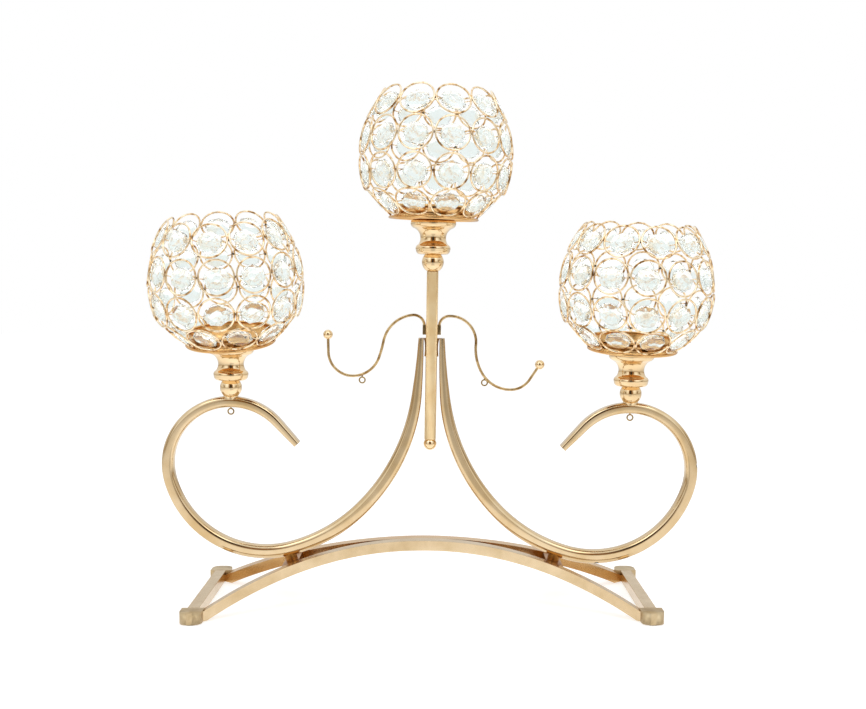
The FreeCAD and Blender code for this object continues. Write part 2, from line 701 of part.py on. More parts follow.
def main():
    os.makedirs("parts", exist_ok=True)
    print("upper frame raised by", round(upper_rise, 4), "mm; side stems at", round(stem_half_x, 3), "mm")

    arches = [arch_bar(-1), arch_bar(1)]
    caps = {}
    for end, side_y in (("front", -1), ("rear", 1)):
        for name, side_x in SIDES.items():
            caps["%s_%s_foot" % (end, name)] = foot_cap(side_x, side_y)
    for cap in caps.values():
        arches = [arch.cut(cap) for arch in arches]
    for name, side_x in SIDES.items():
        save(name + "_foot_bar", place_on_base(foot_bar(side_x)))
        save(name + "_bridge", place_on_base(bridge(side_x, arches)))
    for name, cap in caps.items():
        save(name, place_on_base(cap))
    save("front_arch_bar", place_on_base(arches[0]))
    save("rear_arch_bar", place_on_base(arches[1]))
    save("foot_pads", place_on_base(foot_pads()))

    bolts = []
    for name, side in SIDES.items():
        tube = scroll(side).cut(bolt_hole(side))
        save(name + "_scroll", tube)
        save(name + "_spacer", spacer(side, tube))
        bolts.append(base_bolt(side))
        save(name + "_side_plate", turn_to_upper_frame(side_plate(side, upright(tube))))
        save(name + "_stem_washer", turn_to_upper_frame(stem_washer(side * stem_half_x, upright(tube))))
        arm, ball, eyelet = hook_arm(name, side)
        save(name + "_hook_arm", arm)
        save(name + "_hook_ball", ball)
        save(name + "_hook_eyelet", eyelet)
        underside = crest_height - tube_width * tube_width_share(scroll_top_share)
        save(name + "_scroll_eyelet",
             turn_to_upper_frame(hanging_eyelet(side * stem_half_x, underside, upright(tube))))
    save("base_bolts", Part.makeCompound(bolts))

    post = square_post()
    save("centre_post", turn_to_upper_frame(post.copy()))
    finial_centre = Vector(0, 0, post_bottom_height - finial_radius + finial_seat_depth)
    finial = Part.makeSphere(finial_radius, finial_centre).cut(post)
    save("post_finial", turn_to_upper_frame(finial))

    for name in bowl_poses:
        x = SIDES.get(name, 0) * stem_half_x
        base = side_collar_height if name in SIDES else centre_collar_height
        ball, collar = stem_pieces(name, x, base, post)
        save(name + "_stem_ball", turn_to_upper_frame(ball))
        pivot = upper_point(x, base + stem_height)
        collar = build_bowl(name, pivot, turn_to_upper_frame(collar))
        save(name + "_stem_collar", collar)
        axis = FreeCAD.Rotation(X_AXIS, bowl_poses[name]["forward_deg"]).multVec(
            FreeCAD.Rotation(Y_AXIS, bowl_poses[name]["lean_deg"]).multVec(Z_AXIS))
        print("swivel", name, "at", [round(c, 3) for c in pivot], "axis", [round(c, 6) for c in axis])


def upright(tube):
    """A leaning upper-frame piece turned back upright."""
    copy = tube.copy()
    copy.translate(Vector(-upper_offset_x, 0, -upper_rise))
    copy.rotate(Vector(0, 0, lean_centre_height), Y_AXIS, -upper_lean_deg)
    return copy


# The upper frame's seat on the base, and the stems' seats on the scrolls
upper_rise = 0.0
upper_rise = seat_rise()
stem_half_x, crest_height = scroll_crest()
washer_top_height = crest_height + washer_rise
side_collar_height = washer_top_height + math.sqrt(stem_ball_radius ** 2 - washer_radius ** 2) + stem_ball_drop

main()
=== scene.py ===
# Gilt candelabra for three tealights: polished scroll tubes, turned stems and bowls of wire rings,
# each ring with a cut crystal bead. Metres, +Z up, the front towards -Y.
import json
import math

import bmesh
import bpy
from mathutils import Matrix, Vector


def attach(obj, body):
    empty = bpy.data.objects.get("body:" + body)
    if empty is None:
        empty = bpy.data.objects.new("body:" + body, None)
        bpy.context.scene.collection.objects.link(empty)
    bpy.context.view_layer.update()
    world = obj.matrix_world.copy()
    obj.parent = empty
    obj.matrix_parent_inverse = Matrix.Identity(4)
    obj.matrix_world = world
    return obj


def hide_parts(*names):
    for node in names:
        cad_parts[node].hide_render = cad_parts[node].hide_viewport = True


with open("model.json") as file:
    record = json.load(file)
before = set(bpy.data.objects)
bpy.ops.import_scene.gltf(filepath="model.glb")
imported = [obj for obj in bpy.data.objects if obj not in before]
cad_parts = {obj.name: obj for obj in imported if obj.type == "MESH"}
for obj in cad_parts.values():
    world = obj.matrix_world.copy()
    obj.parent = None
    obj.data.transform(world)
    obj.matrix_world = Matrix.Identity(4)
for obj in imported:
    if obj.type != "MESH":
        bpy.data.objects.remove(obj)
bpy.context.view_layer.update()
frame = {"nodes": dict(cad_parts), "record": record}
MM = 0.001
TAU = 2 * math.pi

# The bowls as they are built: millimetres and degrees
RING_OUTER = 12.25
WIRE = 0.68
RING_GAP = 0.3
ROW_GAP = 0.35
TOP_ROW_GAP = 0.1
BOTTOM_ROW_LAP = 1.2
SEAT_CLEARANCE = 0.1
TRAY_SHEET = 0.9
ROW_TILTS = [30.0, 11.0, -11.0, -44.0]
ROW_COUNTS = [11, 13, 13, 10]
ROW_NAMES = ["top", "upper", "lower", "bottom"]
ROW_RADII = [(RING_OUTER + RING_GAP / 2) / math.tan(math.pi / count) for count in ROW_COUNTS]
ROW_RISES = [RING_OUTER * math.cos(math.radians(tilt)) for tilt in ROW_TILTS]
ROW_HEIGHTS = [
    ROW_GAP / 2 + 2 * ROW_RISES[1] + TOP_ROW_GAP + ROW_RISES[0],
    ROW_GAP / 2 + ROW_RISES[1],
    -ROW_GAP / 2 - ROW_RISES[2],
    -ROW_GAP / 2 - 2 * ROW_RISES[2] + BOTTOM_ROW_LAP - ROW_RISES[3],
]
CAGE_CENTRE = TRAY_SHEET + SEAT_CLEARANCE + ROW_RISES[3] - ROW_HEIGHTS[3]
BEAD_HALF = (9.0, 7.9)
BEAD_SIDES = 8
BEAD_SAG = 0.9
BEAD_GIRDLE = -1.5
# From the front table to the back one: height, share of the half widths, turn of the corners in steps
BEAD_LEVELS = [(1.0, 0.50, 0.0), (0.2, 0.82, 0.5), (-1.2, 1.0, 0.0), (-1.9, 1.0, 0.0), (-3.7, 0.72, 0.5),
               (-4.7, 0.30, 0.0)]
PIN_INNER = 7.6
PIN_WIRE = 0.34
KNOT_SHARES = (1.2, 0.75, 0.8)
DISC_FLAT = 12.95
UPPER_LEAN = 0.9
SWIVEL_PLAY = 0.06
BOWLS = {
    "left": {"lean": -1.5, "forward": 9.9, "turns": [-1.0, 4.0, 2.0, 20.0], "rise": 0.35, "seed": 11},
    "centre": {"lean": 2.2, "forward": 1.5, "turns": [14.0, 12.0, 12.0, 14.0], "rise": 0.1, "seed": 23},
    "right": {"lean": 2.0, "forward": 5.0, "turns": [7.0, -2.0, -1.0, 10.0], "rise": 0.6, "seed": 37},
}

# The turned stems as they are built
STEM_HEIGHT = 24.2
STEM_COLLAR = (11.8, 6.9)
STEM_NECK = (8.9, 11.6)
STEM_DISC = (15.75, 6.7)
STEM_ROUND = 2.8

# The upper frame and its bent pieces as they are built
UPPER_OFFSET = 1.2
LEAN_CENTRE = 218.0
SCROLL = {"start": (7.3, 185.9, -88.6), "radii": [527.2, 134.1, 111.2, 69.0, 44.1],
          "turns": [4.4, 39.0, 29.7, 88.9, 153.5], "tail": 20.9}
TUBE_SIZE = 9.6
TUBE_CORNER = 0.36
TUBE_SHARES = [(0.0, 0.375), (0.055, 0.56), (0.106, 0.80), (0.20, 0.97), (0.30, 1.0), (0.48, 0.985),
               (0.71, 0.875), (0.87, 0.80), (0.95, 0.70), (1.0, 0.48)]
VENTS = [(0.486, 1.75), (0.72, 1.75)]
VENT_SLANT = 57
POST_SIZE = 8.0
HOOK_WIRE = 0.95
HOOK_TAB = (2.4, 4.6, 7.0)
HOOK_ROOT = 188.3
HOOKS = {
    "left": {"radii": [7.5, 23.0, 78.4, 19.4, 17.1],
             "turns": [-96.5, -73.0, 8.7, 67.8, 91.2], "tail": 12.1},
    "right": {"radii": [7.1, 18.1, 33.9, 23.0, 15.9],
              "turns": [-86.8, -97.8, 35.5, 60.5, 55.7], "tail": 12.6},
}


# Node helpers

def link_value(tree, socket, value):
    """Set a socket to a number or colour, or link it to another socket."""
    if isinstance(value, bpy.types.NodeSocket):
        tree.links.new(value, socket)
    else:
        socket.default_value = value


def add_node(tree, kind, settings=None, **inputs):
    node = tree.nodes.new(kind)
    for name, value in (settings or {}).items():
        setattr(node, name, value)
    for name, value in inputs.items():
        link_value(tree, node.inputs[name.replace("_", " ")], value)
    return node


def math_node(tree, operation, first, second=0.0):
    node = tree.nodes.new("ShaderNodeMath")
    node.operation = operation
    link_value(tree, node.inputs[0], first)
    link_value(tree, node.inputs[1], second)
    return node.outputs[0]


def combine(tree, x, y, z):
    node = tree.nodes.new("ShaderNodeCombineXYZ")
    for socket, value in zip(node.inputs, (x, y, z)):
        link_value(tree, socket, value)
    return node.outputs[0]


def mix_colour(tree, share, first, second, blend="MIX"):
    node = tree.nodes.new("ShaderNodeMix")
    node.data_type = "RGBA"
    node.blend_type = blend
    link_value(tree, node.inputs[0], share)
    link_value(tree, node.inputs[6], first)
    link_value(tree, node.inputs[7], second)
    return node.outputs[2]


def mix_shader(tree, share, first, second):
    node = tree.nodes.new("ShaderNodeMixShader")
    for socket, value in zip(node.inputs, (share, first, second)):
        tree.links.new(value, socket)
    return node.outputs[0]


def ramp(tree, factor, stops):
    node = tree.nodes.new("ShaderNodeValToRGB")
    tree.links.new(factor, node.inputs[0])
    elements = node.color_ramp.elements
    while len(elements) < len(stops):
        elements.new(0.5)
    for element, (position, colour) in zip(elements, stops):
        element.position = position
        element.color = colour
    return node.outputs[0]


def band(tree, factor, rise_from, rise_to, fall_from, fall_to):
    """1 between rise_to and fall_from, 0 outside, soft at both edges."""
    none, full = (0, 0, 0, 1), (1, 1, 1, 1)
    return ramp(tree, factor, [(rise_from, none), (rise_to, full), (fall_from, full), (fall_to, none)])


def hex_colour(text):
    """sRGB hex as a linear colour."""
    values = [int(text[i:i + 2], 16) / 255 for i in (0, 2, 4)]
    return tuple(v / 12.92 if v <= 0.04045 else ((v + 0.055) / 1.055) ** 2.4 for v in values) + (1.0,)


# Materials

def plating_group():
    """Small changes of tone, haze and surface in plated metal, in the piece's own coordinates."""
    tree = bpy.data.node_groups.new("Plating", "ShaderNodeTree")
    for name, kind in (("Tone", "NodeSocketColor"), ("Deep tone", "NodeSocketColor"),
                       ("Patch size", "NodeSocketFloat"), ("Roughness", "NodeSocketFloat"),
                       ("Haze", "NodeSocketFloat")):
        tree.interface.new_socket(name, in_out="INPUT", socket_type=kind)
    for name, kind in (("Colour", "NodeSocketColor"), ("Roughness", "NodeSocketFloat"),
                       ("Height", "NodeSocketFloat")):
        tree.interface.new_socket(name, in_out="OUTPUT", socket_type=kind)
    given = tree.nodes.new("NodeGroupInput").outputs
    out = tree.nodes.new("NodeGroupOutput").inputs
    place = tree.nodes.new("ShaderNodeTexCoord").outputs["Object"]
    scale = math_node(tree, "DIVIDE", 1.0, given["Patch size"])
    patches = add_node(tree, "ShaderNodeTexNoise", Vector=place, Scale=scale, Detail=3.0,
                       Roughness=0.6).outputs["Fac"]
    fine = add_node(tree, "ShaderNodeTexNoise", Vector=place, Scale=math_node(tree, "MULTIPLY", scale, 22.0),
                    Detail=2.0).outputs["Fac"]
    share = add_node(tree, "ShaderNodeMapRange", Value=patches, From_Min=0.35, From_Max=0.7).outputs[0]
    link_value(tree, out["Colour"], mix_colour(tree, share, given["Tone"], given["Deep tone"]))
    rough = math_node(tree, "MULTIPLY", given["Haze"], math_node(tree, "ADD", patches, fine))
    link_value(tree, out["Roughness"], math_node(tree, "ADD", given["Roughness"], rough))
    link_value(tree, out["Height"], math_node(tree, "ADD", math_node(tree, "MULTIPLY", patches, 0.8),
                                              math_node(tree, "MULTIPLY", fine, 0.12)))
    return tree


PLATING = plating_group()


def new_material(name):
    material = bpy.data.materials.new(name)
    material.use_nodes = True
    return material, material.node_tree, material.node_tree.nodes["Principled BSDF"]


def plated_metal(name, tone, deep, patch=0.02, roughness=0.06, haze=0.04, dent=0.02, metallic=1.0):
    """Polished plating: tone patches, a little haze and the slight unevenness of buffed metal."""
    material, tree, shader = new_material(name)
    group = tree.nodes.new("ShaderNodeGroup")
    group.node_tree = PLATING
    for socket, value in (("Tone", hex_colour(tone)), ("Deep tone", hex_colour(deep)), ("Patch size", patch),
                          ("Roughness", roughness), ("Haze", haze)):
        link_value(tree, group.inputs[socket], value)
    link_value(tree, shader.inputs["Base Color"], group.outputs["Colour"])
    link_value(tree, shader.inputs["Roughness"], group.outputs["Roughness"])
    bump = add_node(tree, "ShaderNodeBump", Strength=dent, Distance=0.0004, Height=group.outputs["Height"])
    link_value(tree, shader.inputs["Normal"], bump.outputs[0])
    shader.inputs["Metallic"].default_value = metallic
    return material


def wire_with_painted_reflections(name, dark, middle, pale, patch=0.004):
    """Thin polished wire with painted reflections: dark patches along it stand in for the dark surroundings it
    reflects, pale ones are painted highlights.
    """
    material, tree, shader = new_material(name)
    place = tree.nodes.new("ShaderNodeTexCoord").outputs["Object"]
    # Random patches along the wire: the dark stop is painted reflection, the pale stop painted highlight
    reflection_patches = add_node(tree, "ShaderNodeTexNoise", Vector=place, Scale=1.0 / patch, Detail=2.0).outputs["Fac"]
    tone = ramp(tree, reflection_patches, [(0.32, hex_colour(dark)), (0.42, hex_colour(middle)),
                                (0.54, hex_colour(pale))])
    link_value(tree, shader.inputs["Base Color"], tone)
    shader.inputs["Metallic"].default_value = 1.0
    shader.inputs["Roughness"].default_value = 0.07
    return material


def cut_crystal(name):
    """Cut glass, a little soft inside, with the faintest smoky tint in places."""
    material, tree, shader = new_material(name)
    place = tree.nodes.new("ShaderNodeTexCoord").outputs["Object"]
    cloud = add_node(tree, "ShaderNodeTexNoise", Vector=place, Scale=90.0, Detail=1.0).outputs["Fac"]
    tint = ramp(tree, cloud, [(0.35, (0.985, 1.0, 0.995, 1.0)), (0.62, (0.955, 0.98, 0.965, 1.0)),
                              (0.72, (0.93, 0.87, 0.76, 1.0))])
    link_value(tree, shader.inputs["Base Color"], tint)
    shader.inputs["Roughness"].default_value = 0.14
    shader.inputs["IOR"].default_value = 1.3
    shader.inputs["Transmission Weight"].default_value = 0.95
    return material


def soft_pad(name):
    material, tree, shader = new_material(name)
    place = tree.nodes.new("ShaderNodeTexCoord").outputs["Object"]
    grain = add_node(tree, "ShaderNodeTexNoise", Vector=place, Scale=900.0, Detail=3.0).outputs["Fac"]
    link_value(tree, shader.inputs["Base Color"], ramp(tree, grain, [(0.3, hex_colour("CFC8BC")),
                                                                    (0.8, hex_colour("E4DED2"))]))
    bump = add_node(tree, "ShaderNodeBump", Strength=0.2, Distance=0.0002, Height=grain)
    link_value(tree, shader.inputs["Normal"], bump.outputs[0])
    shader.inputs["Roughness"].default_value = 0.8
    return material


gold_tube = plated_metal("Gold scroll plating", "DAC19A", "C9AA7A", patch=0.03, roughness=0.06, haze=0.03)
gold_post = plated_metal("Satin post plating", "F6DBAA", "EECB92", patch=0.012, roughness=0.36, haze=0.06,
                         metallic=0.45)
gold_bar = plated_metal("Gold bar plating", "D7BF9A", "C4A97F", patch=0.025, roughness=0.15, haze=0.07)
# The rear bar's deeper, warmer tone is painted reflection: it stands in for the front bar reflected in it
gold_bar_painted_reflection = plated_metal("Bar plating with painted reflection", "DAB582", "C59C65", patch=0.025, roughness=0.15, haze=0.07)
gold_foot = plated_metal("Gold foot plating", "CDB791", "B1986F", patch=0.012, roughness=0.36, haze=0.06)
gold_turned = plated_metal("Turned gold", "EED3A7", "E5C494", patch=0.012, roughness=0.03, haze=0.02)
# Ring and pin wire: its dark and pale stops are painted reflection and painted highlight
gold_wire = wire_with_painted_reflections("Gold ring wire", "8F6533", "E6BF8A", "FAE6C4")
gold_eyelet = plated_metal("Plated eyelets", "B79B66", "8F7443", patch=0.004, roughness=0.12, haze=0.06)
# Hook wire: its dark deep tone is painted reflection, patches standing in for the dark surroundings reflected
# along the wire
gold_hook = plated_metal("Bent gold wire", "DEC08C", "94703C", patch=0.006, roughness=0.08, haze=0.06)
gold_tray = plated_metal("Spun gold tray", "E6BC82", "D39F60", patch=0.02, roughness=0.14, haze=0.06)
gold_dark = plated_metal("Shaded gold", "B98546", "98672F", patch=0.01, roughness=0.2, haze=0.1)
solder = plated_metal("Solder knots", "6E675C", "38312A", patch=0.004, roughness=0.25, haze=0.15, dent=0.3)
bolt_steel = plated_metal("Plated steel screws", "B9B2A6", "8F877B", patch=0.006, roughness=0.2, haze=0.1)
crystal = cut_crystal("Cut crystal")
pad_material = soft_pad("Pale feet pads")


# Meshes

def new_object(name, mesh, material=None):
    piece = bpy.data.objects.new(name, mesh)
    bpy.context.scene.collection.objects.link(piece)
    if material:
        piece.data.materials.clear()
        piece.data.materials.append(material)
    return piece


def mesh_from(name, build):
    mesh = bpy.data.meshes.new(name)
    bm = bmesh.new()
    build(bm)
    bm.to_mesh(mesh)
    bm.free()
    return mesh


def circle(radius, count):
    return [(radius * math.cos(TAU * k / count), radius * math.sin(TAU * k / count)) for k in range(count)]


def skin(bm, loops, closed=False):
    """Faces between neighbouring loops; an open row of loops gets a cap at each end."""
    count = len(loops[0])
    for before, after in zip(loops, loops[1:] + loops[:1] if closed else loops[1:]):
        for k in range(count):
            bm.faces.new((before[k], before[(k + 1) % count], after[(k + 1) % count], after[k]))
    if not closed:
        bm.faces.new(list(reversed(loops[0])))
        bm.faces.new(loops[-1])


def tube(bm, start, end, radius, sides):
    """Straight closed wire."""
    turn = (end - start).normalized().to_track_quat("Z", "X").to_matrix()
    skin(bm, [[bm.verts.new(place + turn @ Vector((x, y, 0))) for x, y in circle(radius, sides)]
              for place in (start, end)])


def ring_unit(bm, around=40, sides=10):
    loops = []
    for ahead_x, ahead_y in circle(1.0, around):
        loops.append([bm.verts.new(Vector(((RING_OUTER - WIRE + u) * ahead_x,
                                           (RING_OUTER - WIRE + u) * ahead_y, v)) * MM)
                      for u, v in circle(WIRE, sides)])
    skin(bm, loops, closed=True)


def bead_unit(bm):
    """Cut oval bead: tables front and back, kite facets between, a thin girdle."""
    rows = []
    for height, share, shift in BEAD_LEVELS:
        angles = [TAU * (k + shift) / BEAD_SIDES for k in range(BEAD_SIDES)]
        rows.append([bm.verts.new(Vector((BEAD_HALF[0] * share * math.cos(angle),
                                          BEAD_HALF[1] * share * math.sin(angle) - BEAD_SAG, height)) * MM)
                     for angle in angles])
    bm.faces.new(rows[0])
    bm.faces.new(list(reversed(rows[-1])))
    for upper, lower, (_, _, first), (_, _, second) in zip(rows, rows[1:], BEAD_LEVELS, BEAD_LEVELS[1:]):
        for k in range(BEAD_SIDES):
            after = (k + 1) % BEAD_SIDES
            if first == second:
                bm.faces.new((upper[k], lower[k], lower[after], upper[after]))
            elif first < second:
                bm.faces.new((upper[k], lower[k], upper[after]))
                bm.faces.new((lower[k], lower[after], upper[after]))
            else:
                bm.faces.new((upper[k], lower[k], lower[after]))
                bm.faces.new((upper[k], lower[after], upper[after]))


def pin_unit(bm):
    """The two wire pins that hang a bead in its ring."""
    for side in (-1, 1):
        tube(bm, Vector((side * PIN_INNER, -BEAD_SAG / 2, BEAD_GIRDLE)) * MM,
             Vector((side * (RING_OUTER - 1.2 * WIRE), 0, 0)) * MM, PIN_WIRE * MM, 8)


def knot_unit(bm):
    """Drop of solder, about a millimetre, between two rings of a row."""
    bmesh.ops.create_uvsphere(bm, u_segments=12, v_segments=8, radius=MM)
    bmesh.ops.scale(bm, verts=bm.verts, vec=KNOT_SHARES)


# Rows of the bowls: one geometry tree lays any unit round a row

def row_tree():
    tree = bpy.data.node_groups.new("Bowl row", "GeometryNodeTree")
    add = tree.interface.new_socket
    add("Geometry", in_out="INPUT", socket_type="NodeSocketGeometry")
    for name, kind in (("Unit", "Object"), ("Count", "Int"), ("Row radius", "Float"), ("Row height", "Float"),
                       ("Tilt", "Float"), ("Turn", "Float"), ("Wobble", "Vector"), ("Seed", "Int"),
                       ("Finish", "Material")):
        add(name, in_out="INPUT", socket_type="NodeSocket" + kind)
    add("Geometry", in_out="OUTPUT", socket_type="NodeSocketGeometry")
    given = tree.nodes.new("NodeGroupInput").outputs
    centre = combine(tree, 0.0, math_node(tree, "MULTIPLY", given["Row radius"], -1.0), given["Row height"])
    upright = add_node(tree, "FunctionNodeEulerToRotation",
                       Euler=combine(tree, math_node(tree, "SUBTRACT", math.pi / 2, given["Tilt"]), 0.0, 0.0))
    unit = add_node(tree, "GeometryNodeObjectInfo", Object=given["Unit"])
    placed = add_node(tree, "GeometryNodeTransform", Geometry=unit.outputs["Geometry"], Translation=centre,
                      Rotation=upright.outputs[0])
    points = add_node(tree, "GeometryNodeMeshLine", Count=given["Count"], Offset=(0.0, 0.0, 0.0))
    index = tree.nodes.new("GeometryNodeInputIndex").outputs[0]
    step = math_node(tree, "DIVIDE", TAU, given["Count"])
    around = math_node(tree, "ADD", given["Turn"], math_node(tree, "MULTIPLY", index, step))
    facing = add_node(tree, "FunctionNodeEulerToRotation", Euler=combine(tree, 0.0, 0.0, around))
    spread = add_node(tree, "GeometryNodeInstanceOnPoints", Points=points.outputs[0],
                      Instance=placed.outputs[0], Rotation=facing.outputs[0])
    low = add_node(tree, "ShaderNodeVectorMath", {"operation": "SCALE"}, Vector=given["Wobble"], Scale=-1.0)
    chance = add_node(tree, "FunctionNodeRandomValue", {"data_type": "FLOAT_VECTOR"}, Min=low.outputs[0],
                      Max=given["Wobble"], Seed=given["Seed"])
    slack = add_node(tree, "FunctionNodeEulerToRotation", Euler=chance.outputs[0])
    turned = add_node(tree, "GeometryNodeRotateInstances", Instances=spread.outputs[0],
                      Rotation=slack.outputs[0], Pivot_Point=centre, Local_Space=True)
    real = add_node(tree, "GeometryNodeRealizeInstances", Geometry=turned.outputs[0])
    finish = add_node(tree, "GeometryNodeSetMaterial", Geometry=real.outputs[0], Material=given["Finish"])
    out = tree.nodes.new("NodeGroupOutput")
    tree.links.new(finish.outputs[0], out.inputs[0])
    return tree


ROW_TREE = row_tree()
ROW_INPUTS = {item.name: item.identifier for item in ROW_TREE.interface.items_tree if item.in_out == "INPUT"}


def lay_row(unit, values):
    """The realized mesh of one row."""
    host = new_object("row_host", bpy.data.meshes.new("row_host"))
    modifier = host.modifiers.new("Row", "NODES")
    modifier.node_group = ROW_TREE
    modifier[ROW_INPUTS["Unit"]] = unit
    for name, value in values.items():
        modifier[ROW_INPUTS[name]] = value
    depsgraph = bpy.context.evaluated_depsgraph_get()
    mesh = bpy.data.meshes.new_from_object(host.evaluated_get(depsgraph), depsgraph=depsgraph)
    host.modifiers.clear()
    bpy.data.objects.remove(host)
    return mesh


def joined(name, meshes, place, material, smooth):
    """One object from several meshes, moved to its place in the frame."""
    def build(bm):
        for mesh in meshes:
            bm.from_mesh(mesh)
        bm.transform(place)
        bmesh.ops.recalc_face_normals(bm, faces=bm.faces)
        for face in bm.faces:
            face.smooth = smooth
            face.material_index = 0
    piece = new_object(name, mesh_from(name, build), material)
    for mesh in meshes:
        bpy.data.meshes.remove(mesh)
    return piece


UNIT_MAKERS = {"ring": ring_unit, "bead": bead_unit, "pin": pin_unit, "knot": knot_unit}
UNITS = {name: new_object("unit_" + name, mesh_from("unit_" + name, make))
         for name, make in UNIT_MAKERS.items()}


def seat_place(name):
    """The middle of the stem's top, where the bowl's swivel is."""
    joints = frame["record"]["behaviour"]["joints"]
    return Vector(next(joint["pos_m"] for joint in joints if joint["child"] == name + "_bowl"))


def bowl_place(name):
    """Takes the middle of an upright bowl's cage to its place in the frame."""
    bowl = BOWLS[name]
    lean, forward = math.radians(bowl["lean"]), math.radians(bowl["forward"])
    angle = math.acos(math.cos(lean - math.radians(UPPER_LEAN)) * math.cos(forward))
    seat = DISC_FLAT * math.tan(angle) + bowl["rise"]
    turn = Matrix.Rotation(forward, 4, "X") @ Matrix.Rotation(lean, 4, "Y")
    up = Matrix.Translation(Vector((0, 0, (seat + SWIVEL_PLAY + CAGE_CENTRE) * MM)))
    return Matrix.Translation(seat_place(name)) @ turn @ up


def bowl_rows(bowl, unit, material, wobble):
    """The unit laid round all four rows; knots go halfway between the rings."""
    meshes = []
    for row, turn in enumerate(bowl["turns"]):
        turn, radius, seed = math.radians(turn), ROW_RADII[row], bowl["seed"] + row
        if unit == "knot":
            half_step = math.pi / ROW_COUNTS[row]
            turn, radius, seed = turn + half_step, radius / math.cos(half_step) - WIRE, bowl["seed"]
        meshes.append(lay_row(UNITS[unit], {
            "Count": ROW_COUNTS[row], "Row radius": radius * MM, "Row height": ROW_HEIGHTS[row] * MM,
            "Tilt": math.radians(ROW_TILTS[row]), "Turn": turn, "Wobble": wobble, "Seed": seed,
            "Finish": material}))
    return meshes


def dress_bowl(name):
    # Piece, unit, material, smooth, and the most that a unit is turned from its place, in radians
    kinds = (("rings", "ring", gold_wire, True, (0.03, 0.03, 0.0)),
             ("crystals", "bead", crystal, False, (0.05, 0.28, 0.05)),
             ("pins", "pin", gold_wire, True, (0.03, 0.12, 0.03)),
             ("knots", "knot", solder, True, (0.0, 0.3, 0.2)))
    pieces = {}
    for label, unit, material, smooth, wobble in kinds:
        meshes = bowl_rows(BOWLS[name], unit, material, wobble)
        pieces[label] = joined("%s_%s" % (name, label), meshes, bowl_place(name), material, smooth)
    for label, piece in pieces.items():
        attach(piece, name + "_bowl")
    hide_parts(*["%s_%s_rings" % (name, row) for row in ROW_NAMES])
    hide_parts(name + "_beads")


for bowl_name in BOWLS:
    dress_bowl(bowl_name)
for unit in UNITS.values():
    bpy.data.objects.remove(unit)


# Carried-over metal: a merged copy of each node, softened at its edges and smoothly shaded

def polished(node, body, material, soft_edge=0.0, sharp_deg=35.0):
    source = frame["nodes"][node].data

    def build(bm):
        bm.from_mesh(source)
        bmesh.ops.remove_doubles(bm, verts=bm.verts, dist=2e-6)
        if soft_edge:
            bmesh.ops.dissolve_limit(bm, angle_limit=math.radians(0.5), verts=bm.verts, edges=bm.edges)
        bmesh.ops.recalc_face_normals(bm, faces=bm.faces)
        for face in bm.faces:
            face.material_index = 0
    mesh = mesh_from(node + "_polished", build)
    mesh.shade_smooth()
    mesh.set_sharp_from_angle(angle=math.radians(sharp_deg))
    piece = new_object(node + "_polished", mesh, material)
    if soft_edge:
        bevel = piece.modifiers.new("Soft edge", "BEVEL")
        bevel.width = soft_edge * MM
        bevel.segments = 2
        bevel.limit_method = "ANGLE"
        bevel.angle_limit = math.radians(sharp_deg)
        bevel.harden_normals = True
    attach(piece, body)
    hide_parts(node)
    return piece


# Turned stems, spun afresh from their profile

def arc_through(start, middle, end, steps):
    """Points from start to end on the circle through the three points, without the start."""
    (ax, ay), (bx, by), (cx, cy) = start, middle, end
    d = 2 * (ax * (by - cy) + bx * (cy - ay) + cx * (ay - by))
    a2, b2, c2 = ax * ax + ay * ay, bx * bx + by * by, cx * cx + cy * cy
    ux = (a2 * (by - cy) + b2 * (cy - ay) + c2 * (ay - by)) / d
    uy = (a2 * (cx - bx) + b2 * (ax - cx) + c2 * (bx - ax)) / d
    first = math.atan2(ay - uy, ax - ux)
    half, whole = (math.remainder(math.atan2(y - uy, x - ux) - first, TAU) for x, y in (middle, end))
    if half * whole <= 0:
        whole -= math.copysign(TAU, whole)
    reach = math.hypot(ax - ux, ay - uy)
    angles = [first + whole * k / steps for k in range(1, steps + 1)]
    return [(ux + reach * math.cos(angle), uy + reach * math.sin(angle)) for angle in angles]


def stem_profile():
    """Half outline from the underside to the seat: rounded collar, waisted neck, bun-shaped disc."""
    soft = STEM_ROUND * (1 - math.sqrt(0.5))
    (low, low_height), (neck, neck_height), (disc, disc_height) = STEM_COLLAR, STEM_NECK, STEM_DISC
    disc_bottom = STEM_HEIGHT - disc_height
    disc_widest = STEM_HEIGHT - disc_height / 2 + 0.15
    points = [(low - STEM_ROUND, 0.0)]
    for middle, end, steps in (
            ((low - soft, soft), (low, STEM_ROUND), 8),
            ((low - soft / 2, low_height - soft), (neck + STEM_ROUND / 2, low_height), 10),
            ((neck, neck_height), (neck + STEM_ROUND, disc_bottom - soft / 2), 24)):
        points += arc_through(points[-1], middle, end, steps)
    points.append((disc - STEM_ROUND, disc_bottom + soft / 2))
    points += arc_through(points[-1], (disc, disc_widest), (disc - soft, STEM_HEIGHT - soft / 2), 12)
    points.append((disc - STEM_ROUND, STEM_HEIGHT))
    return points


def turned_collar(name, around=96):
    """Collar and disc of one stem, spun round its upright and set under its bowl."""
    place = (Matrix.Translation(seat_place(name)) @ Matrix.Rotation(math.radians(UPPER_LEAN), 4, "Y")
             @ Matrix.Translation(Vector((0, 0, -STEM_HEIGHT)) * MM))

    def build(bm):
        skin(bm, [[bm.verts.new(Vector((x, y, height)) * MM) for x, y in circle(reach, around)]
                  for reach, height in stem_profile()])
        bm.transform(place)
    mesh = mesh_from(name + "_collar_turned", build)
    mesh.shade_smooth()
    mesh.set_sharp_from_angle(angle=math.radians(30))
    piece = new_object(name + "_collar_turned", mesh, gold_turned)
    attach(piece, "frame")
    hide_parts(name + "_stem_collar")


# Scroll tubes and hook arms, swept afresh along the same chains of arcs

